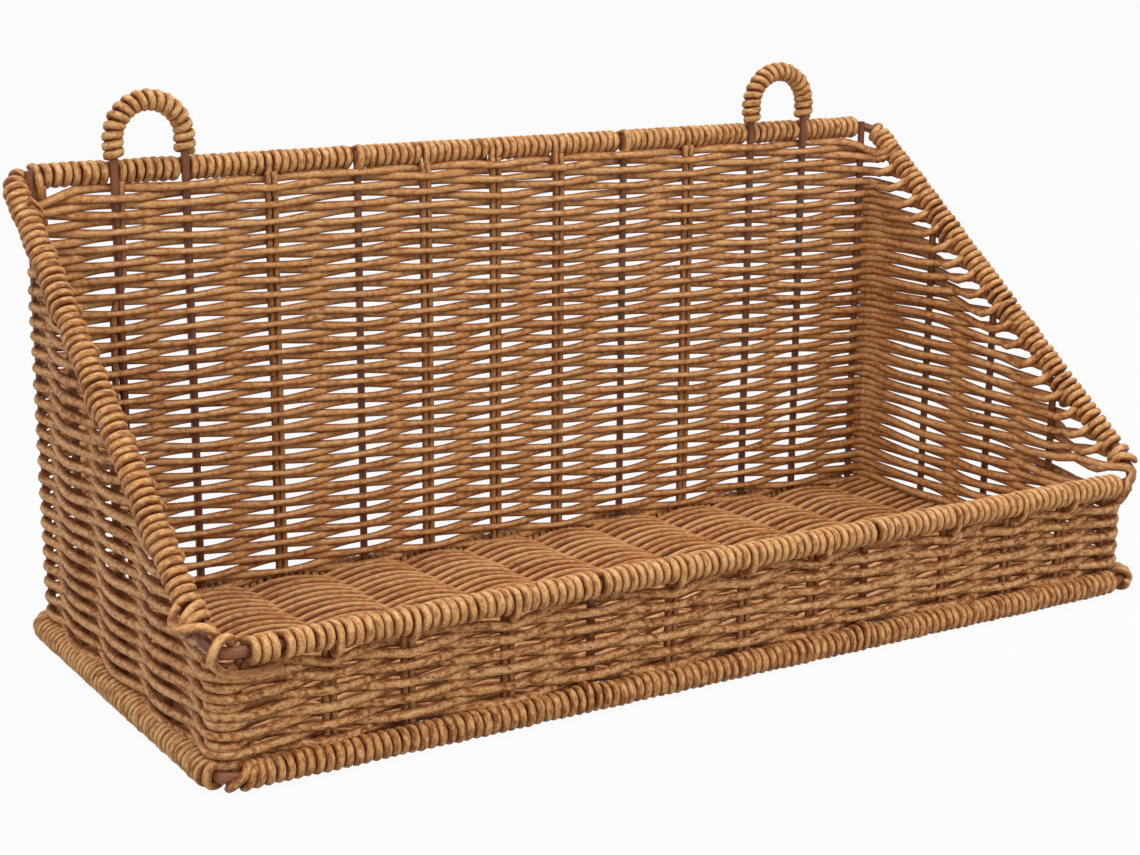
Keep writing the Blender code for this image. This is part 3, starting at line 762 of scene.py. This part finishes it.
def weave_floor():
    """Cords along X, over one stake and under the next, from the front to the back."""
    floor = CordMesh(crinkle=0.65)
    half = HALF_DEPTH - FLOOR_MARGIN
    fronts = np.array(sorted(FRONT_CORDS + FRONT_OUTER + FRONT_WIRES))
    backs = np.array(sorted(BACK_CORDS + LOOP_LEGS + BACK_WIRES))
    end = BASE_HALF_WIDTH - 1
    x = np.linspace(-end, end, int(2 * end / FLOOR_SAMPLE))
    bends = wander(x, 40.0, 0.9)
    for cord in range(FLOOR_CORDS):
        share = (cord + 0.5) / FLOOR_CORDS
        y = half * (2 * share - 1)
        ribs = fronts * (1 - share) + backs * share + rng.uniform(-0.7, 0.7, len(fronts))
        stations = np.concatenate([[-BASE_HALF_WIDTH], ribs, [BASE_HALF_WIDTH]])
        passed = np.interp(x, stations, np.arange(len(stations)))
        crest = signed_power(np.cos(PI * passed), FLOOR_CREST_POWER)
        sign = 1 if cord % 2 else -1
        lift = sign * FLOOR_REACH * crest + wander(x, 20.0, 0.15)
        room = min(1, cord / 3, (FLOOR_CORDS - 1 - cord) / 3)
        middle = y + (bends * 0.6 + wander(x, 30.0, 0.35)) * room
        path = np.column_stack([x, middle, FLOOR_Z + 0.1 + lift])
        width = WEAVER_WIDTH - 0.25 + 0.5 * np.clip(sign * crest, 0, 1) + wander(x, 15.0, 0.2)
        floor.add(path, (0, 0, 1), width, WEAVER_DEPTH)
    floor.finish("floor_weave", weaver_cord, "woven_cord", "woven_floor")


# Stakes


def bent_path(points, radius, spacing=2.0):
    """A polyline with each inner corner rounded by a quadratic curve that starts one radius before it."""
    points = [np.asarray(point, float) for point in points]
    path = [points[0]]
    for before, corner, after in zip(points, points[1:], points[2:]):
        start = corner + unit(before - corner) * radius
        end = corner + unit(after - corner) * radius
        path.append(start)
        for share in (0.25, 0.5, 0.75):
            path.append(start * (1 - share) ** 2 + corner * (2 * share * (1 - share)) + end * share**2)
        path.append(end)
    path.append(points[-1])
    dense = [path[0][None]]
    for start, end in zip(path, path[1:]):
        steps = max(1, int(np.linalg.norm(end - start) / spacing))
        dense.append(start + (end - start) * (np.arange(1, steps + 1) / steps)[:, None])
    return np.concatenate(dense)


def stake_pair(name, points, apart, node):
    """Two cords side by side along a bent path, apart from each other along the given direction."""
    mesh = CordMesh()
    path = bent_path(points, STAKE_BEND)
    places = np.arange(len(path)) * 2.0
    apart = np.asarray(apart, float)
    facing = np.cross(unit(np.gradient(path, axis=0)), apart)
    for sign in (1, -1):
        sideways = sign * (STAKE_APART + wander(places, 16.0, 0.12)) + wander(places, 30.0, 0.15)
        width = STAKE_CORD + wander(places, 12.0, 0.12)
        mesh.add(path + apart * sideways[:, None], facing, width, STAKE_CORD)
    mesh.finish(name, stake_cord, "stake_cord", node)


def front_to_floor(x):
    """The start of a rib's route: from the front rim down the front wall to the floor."""
    return [(x, -WALL_Y - 0.5, FRONT_Z - STAKE_DROP), (x, -WALL_Y, FRONT_Z - 8), (x, -WALL_Y, FLOOR_Z)]


def set_stakes():
    """The doubled ribs, the single cords beside the left loop and in the corner, and the leaning post."""
    back_top = BACK_Z - STAKE_DROP
    for number, (front, back) in enumerate(zip(FRONT_CORDS, BACK_CORDS), 1):
        points = front_to_floor(front)
        points += [(back, WALL_Y, FLOOR_Z), (back, WALL_Y, BACK_Z - 8), (back, WALL_Y + 0.5, back_top)]
        stake_pair(f"doubled_cord_rib_{number}", points, (1, 0, 0), f"cord_rib_{number}")
    for number, (front, back) in enumerate(zip(FRONT_OUTER, LOOP_LEGS), 1):
        points = front_to_floor(front) + [(back, WALL_Y - 1.9, FLOOR_Z)]
        stake_pair(f"outer_rib_cords_{number}", points, (1, 0, 0), f"outer_cord_rib_{number}")
    # The front left post leans out to the rim wire and ends under it
    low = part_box("corner_post_front_left")[0][2] / MM
    mesh = CordMesh(sides=12)
    post = [(-POST_X, -WALL_Y, low), (-POST_X, -WALL_Y, 37.0)]
    post += [(-POST_X, -HALF_DEPTH + 1.0, FRONT_Z - 1.2)]
    mesh.add(bent_path(post, STAKE_BEND), (1, 0, 0), POST_WIRE, POST_WIRE)
    mesh.finish("front_left_post", coated_wire, "coated_wire", "corner_post_front_left")
    beside = [(SINGLE_CORD, WALL_Y, WALL_FOOT), (SINGLE_CORD + 1.4, WALL_Y, 118.0)]
    beside += [(-156.7, WALL_Y + 0.6, 129.0), (-156.0, WALL_Y + 0.4, back_top)]
    corner = [(-POST_X, WALL_Y, WALL_FOOT), (-POST_X, WALL_Y, back_top)]
    for name, points, node in (
        ("cord_beside_the_loop", beside, "single_cord_stake"),
        ("cord_at_the_corner", corner, "corner_cord_stake"),
    ):
        mesh = CordMesh()
        mesh.add(bent_path(points, STAKE_BEND), (0, -1, 0), STAKE_CORD, STAKE_CORD)
        mesh.finish(name, stake_cord, "stake_cord", node)


# Wrappings


def turn_places(start, end, pitch, gaps=()):
    """Middles of the turns between start and end, evenly spread between gaps given as (place, width)."""
    edges = [start]
    for place, width in sorted(gaps):
        edges += [place - width / 2, place + width / 2]
    edges.append(end)
    places = []
    for low, high in zip(edges[::2], edges[1::2]):
        count = max(1, round((high - low) / pitch))
        places.append(low + (high - low) * (np.arange(count) + 0.5) / count)
    return np.concatenate(places)


TURN_POINTS = 20


def wrap(mesh, line, places, seen, down=(0, 0, -1), ties=(), leans=(), lean=-0.55, swell=0.14):
    """One cord wound round a circuit's wire, going down its outer side while it advances.

    Turn i lies at places[i] on the seen side: 0 for the outer side, and pi for the inner side. The
    advance is slower on that side than behind. A tie (turn, drop) reaches further down and is
    narrower, and a lean (turn, shift) slants a turn more than the others.
    """
    down = np.asarray(down, float)
    count = len(places)
    turn = np.arange(-0.5, count - 0.5 + 1e-6, 1 / TURN_POINTS)
    knots = np.arange(count)
    gain = np.minimum(np.gradient(places), WRAP_PITCH * 1.25)
    at = np.concatenate([[-0.5], np.stack([knots - 0.3, knots + 0.3], axis=1).ravel(), [count - 0.5]])
    ends = np.stack([places - 0.2 * gain, places + 0.2 * gain], axis=1).ravel()
    value = np.concatenate([[places[0] - gain[0] * 0.45], ends, [places[-1] + gain[-1] * 0.45]])
    slant = lean + rng.uniform(-0.35, 0.35, count)
    for index, shift in leans:
        slant[index] += shift
    angle = seen - 2 * PI * turn
    along = np.interp(turn, at, value) + np.interp(turn, knots, slant) * np.sin(2 * PI * turn)
    centre, out = line.at(along)
    radial = out * np.cos(angle)[:, None] + line.up * np.sin(angle)[:, None]
    reach = WRAP_RADIUS + np.interp(turn, knots, rng.uniform(-swell, swell, count))
    path = centre + radial * reach[:, None]
    nudge = np.stack([np.interp(turn, knots, rng.uniform(-swell, swell, count)) for _ in range(2)], axis=1)
    path = path + out * nudge[:, :1] + line.up * nudge[:, 1:]
    width = WRAP_WIDTH + np.interp(turn, knots, rng.uniform(-0.22, 0.18, count))
    lowness = np.clip(radial @ down, 0, 1) ** 0.7
    for index, drop in ties:
        near = smoothstep(0, 0.3, np.clip(1 - np.abs(turn - index) * 2.0, 0, 1))
        path = path + down * (near * lowness * drop)[:, None]
        width = width - near * 0.5 * min(1, drop)
    mesh.add(path, radial, width, WRAP_DEPTH)


def loose_turn(mesh, line, stops, after=()):
    """A turn laid through given ring points, and then through free points."""
    dense = curve_through(np.array(stops, float) * (1, 4, 1), 0.7) / (1, 4, 1)
    path, radial = ring_points(line, dense)
    if len(after):
        path = np.concatenate([path, curve_through([path[-1], *after])[1:]])
        radial = np.pad(radial, ((0, len(path) - len(radial)), (0, 0)), "edge")
    mesh.add(path, radial, WRAP_WIDTH + 0.1, WRAP_DEPTH)


def nearest(places, values):
    """The turn next to each value."""
    return [int(np.argmin(np.abs(places - value))) for value in values]


def stake_swells(places, stakes, order):
    """Ties that grow over five turns towards the lower end of the slope, where a side stake's top stands."""
    ties = []
    for index in nearest(places, stakes):
        ties += [(index - order * step, drop) for step, drop in enumerate((4.4, 3.4, 2.4, 1.5, 0.8))]
    return [(index, drop) for index, drop in ties if 0 <= index < len(places)]


# The slanting turn over the top of a metal rib: rows of (place from the rib, angle, distance from the wire)
RIB_TURN = (
    (-2.3, 0.2, 3.4),
    (-2.2, 0.94, 3.5),
    (-1.9, 1.6, 4.6),
    (-1.1, 2.2, 5.8),
    (-0.2, 2.8, 6.5),
    (1.0, 3.4, 6.6),
    (2.1, 4.0, 6.2),
    (2.5, 4.6, 4.6),
    (2.5, 5.4, 3.4),
)
# The tall turn beside the back left bend, in rows of the same kind
TALL_TURN_X = -186.2
TALL_TURN = (
    (0.6, 0.4, 3.5),
    (0.5, 1.4, 3.6),
    (0.2, 2.3, 4.4),
    (-0.1, 3.1, 6.0),
    (-0.4, 3.9, 8.4),
    (-0.5, 4.4, 8.2),
    (0.4, 5.6, 3.4),
)

# Loose turns at the front bends: rows of (place from the bend's end, angle, distance from the wire)
LEFT_BEND_TURNS = (
    ((-22.9, 2.9, 3.6), (-22.0, 2.2, 4.0), (-20.5, 1.5, 4.0), (-18.2, 0.5, 4.0), (-17.5, -0.4, 3.6)),
    (
        (-18.9, 3.0, 3.8),
        (-18.2, 2.4, 4.4),
        (-17.5, 1.8, 4.2),
        (-16.3, 0.9, 4.0),
        (-15.6, 0.1, 3.6),
        (-15.3, -0.6, 3.4),
    ),
    (
        (-23.5, 0.5, 4.0),
        (-22.4, 0.1, 5.0),
        (-21.0, -0.05, 6.0),
        (-19.2, -0.15, 6.5),
        (-15.5, 0.2, 6.4),
        (-13.3, 0.8, 5.8),
        (-11.9, 1.6, 5.0),
        (-9.5, 2.2, 4.6),
        (-8.2, 2.9, 3.6),
    ),
)
LEFT_BEND_LAST = (
    (0.3, 3.1, 3.4),
    (-0.8, 2.5, 4.2),
    (-2.8, 2.15, 5.2),
    (-5.5, 1.8, 4.6),
    (-5.9, 1.0, 4.2),
    (-5.8, 0.3, 4.0),
    (-5.6, -0.2, 4.2),
)
RIGHT_BEND_TURNS = (
    (
        (6.8, 0.5, 3.5),
        (6.3, 1.3, 3.7),
        (6.0, 1.9, 3.8),
        (5.8, 2.6, 4.0),
        (5.0, 3.8, 4.4),
        (4.2, 4.7, 4.0),
        (4.0, 5.6, 3.4),
    ),
    (
        (0.4, 0.7, 3.4),
        (0.6, 1.3, 3.6),
        (1.6, 1.9, 4.1),
        (3.1, 2.5, 4.3),
        (3.1, 3.5, 4.1),
        (2.4, 4.5, 3.6),
        (2.0, 5.4, 3.4),
    ),
)


def moved(stops, place):
    """Ring points with their places counted from another place on the line."""
    return [(place + along, angle, reach) for along, angle, reach in stops]


def slope_places(start, end):
    """Turns on a slope, spread a little unevenly."""
    places = turn_places(start, end, SLOPE_WRAP_PITCH)
    return places + wander(places, 8.0, 0.35)


def wrap_rim():
    """The four wrappings of the rim wire, with the turns laid one by one."""
    # Back: seen from inside
    gaps = [(rim.back(x), 3.3) for x in LOOP_LEGS] + [(rim.back(x + 0.2), 3.8) for x in BACK_WIRES]
    gaps += [(rim.back(-181.2), 1.6)]
    places = turn_places(rim.back(183.5), rim.back(-183.0), WRAP_PITCH, gaps)
    ties = [(index, 3.2) for index in nearest(places, [rim.back(x) for x in BACK_CORDS])]
    leans = [(index, -0.8) for index in nearest(places, [rim.back(x + 4.0) for x in BACK_WIRES])]
    mesh = CordMesh()
    wrap(mesh, rim, places, PI, ties=ties, leans=leans, lean=-0.85)
    for x in BACK_WIRES:
        loose_turn(mesh, rim, moved(RIB_TURN, rim.back(x)))
    loose_turn(mesh, rim, moved(TALL_TURN, rim.back(TALL_TURN_X)))
    mesh.finish("back_rim_wrapping", wrap_cord, "binding_cord", "rim_binding_back")
    # Front: seen from outside
    gaps = [(rim.front(x), 1.6) for x in FRONT_WIRES] + [(rim.front(-172.5), 1.3)]
    places = turn_places(rim.front(-183.2), rim.front(182.4), WRAP_PITCH, gaps)
    ties = [(index, 3.0) for index in nearest(places, [rim.front(x) for x in FRONT_CORDS + FRONT_OUTER])]
    mesh = CordMesh()
    wrap(mesh, rim, places, 0.0, ties=ties)
    mesh.finish("front_rim_wrapping", wrap_cord, "binding_cord", "rim_binding_front")
    # Slopes: the left one is seen from outside and the right one from inside
    to_slope = SLOPE_LENGTH / 2 / HALF_DEPTH
    places = slope_places(rim.left(105.9), rim.left(-86.2))
    swells = stake_swells(places, [rim.left((y - 7) * to_slope) for y in LEFT_STAKES], 1)
    mesh = CordMesh()
    wrap(mesh, rim, places, 0.0, down=-SLOPE_UP, ties=swells, swell=0.22)
    for stops in LEFT_BEND_TURNS:
        loose_turn(mesh, rim, moved(stops, rim.around))
    into_wall = [(-191.4, -84.6, 39.6), (-187.0, -84.8, 38.0), (-180.0, -84.4, 37.2), (-171.0, -82.6, 36.8)]
    loose_turn(mesh, rim, moved(LEFT_BEND_LAST, rim.around), into_wall)
    mesh.finish("left_slope_wrapping", wrap_cord, "binding_cord", "rim_binding_left")
    places = slope_places(rim.right(-87.2), rim.right(102.5))
    swells = stake_swells(places, [rim.right((y - 7) * to_slope) for y in RIGHT_STAKES], -1)
    mesh = CordMesh()
    wrap(mesh, rim, places, PI, down=-SLOPE_UP, ties=swells, swell=0.22)
    for stops in RIGHT_BEND_TURNS:
        loose_turn(mesh, rim, moved(stops, rim.right_start))
    mesh.finish("right_slope_wrapping", wrap_cord, "binding_cord", "rim_binding_right")


def wrap_base():
    """The four wrappings of the base wire, each seen from the side that the photograph shows."""
    for name, start, end, seen in (
        ("front", base.front(-189.0), base.front(183.0), 0.0),
        ("back", base.back(184.0), base.back(-184.0), PI),
        ("left", base.left(88.0), base.left(-81.5), 0.0),
        ("right", base.right(-86.2), base.right(80.0), PI),
    ):
        places = turn_places(start, end, WRAP_PITCH)
        places = places + wander(places, 9.0, 0.2)
        ties = []
        leans = []
        if name == "front":
            # One turn stands up in front of each metal rib, and its left neighbours rise towards it
            for index in nearest(places, [base.front(x - 4.4) for x in FRONT_WIRES]):
                ties += [(index + 1, 0.9), (index, 2.0), (index - 1, 0.9), (index - 2, 0.5)]
            leans = [(0, -3.0), (1, -1.6), (2, -0.7)]
        mesh = CordMesh(crinkle=1.2)
        wrap(mesh, base, places, seen, down=(0, 0, 1), ties=ties, leans=leans)
        mesh.finish(f"{name}_base_wrapping", wrap_cord, "binding_cord", f"base_binding_{name}")


LOOP_RISE = 12.0
WINDING_START = 6.3
WINDING_REACH = 2.85


def wind_loops():
    """A cord round each hanging loop: a helix about the legs and the half circle above them."""
    for side, legs, turns in (("left", LOOP_LEGS[:2], 16), ("right", LOOP_LEGS[2:], 17)):
        middle = (legs[0] + legs[1]) / 2
        radius = (legs[1] - legs[0]) / 2
        leg = LOOP_RISE - WINDING_START
        length = 2 * leg + PI * radius
        along = np.linspace(0, length, turns * TURN_POINTS + 1)
        angle = PI - np.clip((along - leg) / radius, 0, PI)
        outward = np.column_stack([np.cos(angle), np.zeros_like(angle), np.sin(angle)])
        down = np.clip(leg - along, 0, None) + np.clip(along - leg - PI * radius, 0, None)
        centre = np.array([middle, WALL_Y, BACK_Z + LOOP_RISE]) + outward * radius
        centre[:, 2] -= down
        turn = 2 * PI * turns * along / length
        reach = WINDING_REACH + wander(along, 5.0, 0.16)
        radial = outward * np.cos(turn)[:, None] - np.array([0, 1, 0]) * np.sin(turn)[:, None]
        mesh = CordMesh()
        mesh.add(centre + radial * reach[:, None], radial, WRAP_WIDTH + wander(along, 7.0, 0.15), 2.5)
        mesh.finish(f"{side}_loop_winding", wrap_cord, "binding_cord", f"hanging_loop_winding_{side}")


weave_walls()
weave_floor()
set_stakes()
wrap_rim()
wrap_base()
wind_loops()

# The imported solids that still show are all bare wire
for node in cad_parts.values():
    if not node.hide_render:
        node.data.materials.clear()
        node.data.materials.append(coated_wire)


# Camera, floor and light


# The floor's half side and its drop under the basket are in metres
FLOOR_HALF = 6.0
FLOOR_DROP = 0.0002
FLOOR_COLOUR = (0.38, 0.37, 0.36, 1)
FLOOR_WHITE = 0.95

# Azimuth, elevation and roll in degrees, and the focal length in pixels of the photograph's width
CAMERA_ANGLES = (-32.064, 13.944, 0.408)
CAMERA_PLACE = np.array([-413.1, -633.4, 260.2])
FOCAL_PIXELS = 2075.4
PHOTO_PIXELS = 1140
SENSOR_WIDTH = 36.0


def place_object(name, data, right, up, back, place):
    """A camera or a lamp at a place in metres, looking against its back direction."""
    made = bpy.data.objects.new(name, data)
    bpy.context.scene.collection.objects.link(made)
    matrix = np.eye(4)
    matrix[:3, :] = np.column_stack([right, up, back, place])
    made.matrix_world = Matrix(matrix.tolist())
    return made


def place_camera():
    azimuth, elevation, roll = np.radians(CAMERA_ANGLES)
    level = np.cos(elevation)
    back = np.array([np.sin(azimuth) * level, -np.cos(azimuth) * level, np.sin(elevation)])
    right = unit(np.cross([0, 0, 1], back))
    up = np.cross(back, right)
    turned_right = right * np.cos(roll) + up * np.sin(roll)
    turned_up = up * np.cos(roll) - right * np.sin(roll)
    data = bpy.data.cameras.new("camera")
    data.sensor_width = SENSOR_WIDTH
    data.lens = FOCAL_PIXELS / PHOTO_PIXELS * SENSOR_WIDTH
    camera = place_object("camera", data, turned_right, turned_up, back, CAMERA_PLACE * MM)
    bpy.context.scene.camera = camera


def mix_surface(tree, output, *sources):
    """The output's surface, mixed from a factor and two shaders."""
    mixer = tree.nodes.new("ShaderNodeMixShader")
    for target, source in zip(mixer.inputs, sources):
        tree.links.new(source, target)
    tree.links.new(mixer.outputs[0], output.inputs["Surface"])


def floor_finish():
    """A pale diffuse surface that shows itself as white, except for a share that keeps the shadow."""
    material = bpy.data.materials.new("white floor")
    material.use_nodes = True
    tree = material.node_tree
    tree.nodes.clear()
    output = tree.nodes.new("ShaderNodeOutputMaterial")
    plain = tree.nodes.new("ShaderNodeBsdfDiffuse")
    plain.inputs["Color"].default_value = FLOOR_COLOUR
    glow = tree.nodes.new("ShaderNodeEmission")
    glow.inputs["Strength"].default_value = 1.0
    path = tree.nodes.new("ShaderNodeLightPath")
    seen = Value(path.outputs["Is Camera Ray"]) + Value(path.outputs["Is Glossy Ray"])
    seen = (seen + Value(path.outputs["Is Transmission Ray"])) * FLOOR_WHITE
    mix_surface(tree, output, seen.socket, plain.outputs[0], glow.outputs[0])
    return material


def place_floor():
    """A plain square just under the basket."""
    mesh = bpy.data.meshes.new("floor")
    corners = [(x * FLOOR_HALF, y * FLOOR_HALF, -FLOOR_DROP) for x, y in ((-1, -1), (1, -1), (1, 1), (-1, 1))]
    mesh.from_pydata(corners, [], [(0, 1, 2, 3)])
    mesh.materials.append(floor_finish())
    floor = bpy.data.objects.new("studio_floor", mesh)
    bpy.context.scene.collection.objects.link(floor)


# Square lamps, aimed at the basket's middle: rows of (name, place in metres, power)
LAMPS = (
    ("key", (0.45, -0.8, 0.85), 4.8),
    ("fill", (-1.5, -1.0, 0.9), 5.6),
    ("top", (-0.15, 0.0, 1.2), 7.0),
)
LAMP_SIZE = 0.9
LAMP_AIM = np.array([0, 0, 0.08])
SKY_STRENGTH = 0.76


def place_lights():
    """A soft sky, with a plain one for the camera, and the lamps."""
    world = bpy.data.worlds.new("studio")
    bpy.context.scene.world = world
    world.use_nodes = True
    tree = world.node_tree
    tree.nodes.clear()
    output = tree.nodes.new("ShaderNodeOutputWorld")
    soft = tree.nodes.new("ShaderNodeBackground")
    soft.inputs["Color"].default_value = (1, 1, 1, 1)
    soft.inputs["Strength"].default_value = SKY_STRENGTH
    seen = tree.nodes.new("ShaderNodeBackground")
    seen.inputs["Strength"].default_value = 1.0
    path = tree.nodes.new("ShaderNodeLightPath")
    mix_surface(tree, output, path.outputs["Is Camera Ray"], soft.outputs[0], seen.outputs[0])
    for name, place, power in LAMPS:
        data = bpy.data.lights.new(name, "AREA")
        data.size = LAMP_SIZE
        data.energy = power
        back = unit(np.array(place) - LAMP_AIM)
        right = unit(np.cross([0, 0, 1], back))
        place_object(name, data, right, np.cross(back, right), back, place)


place_camera()
place_floor()
place_lights()
bpy.context.scene.view_settings.view_transform = "Standard"
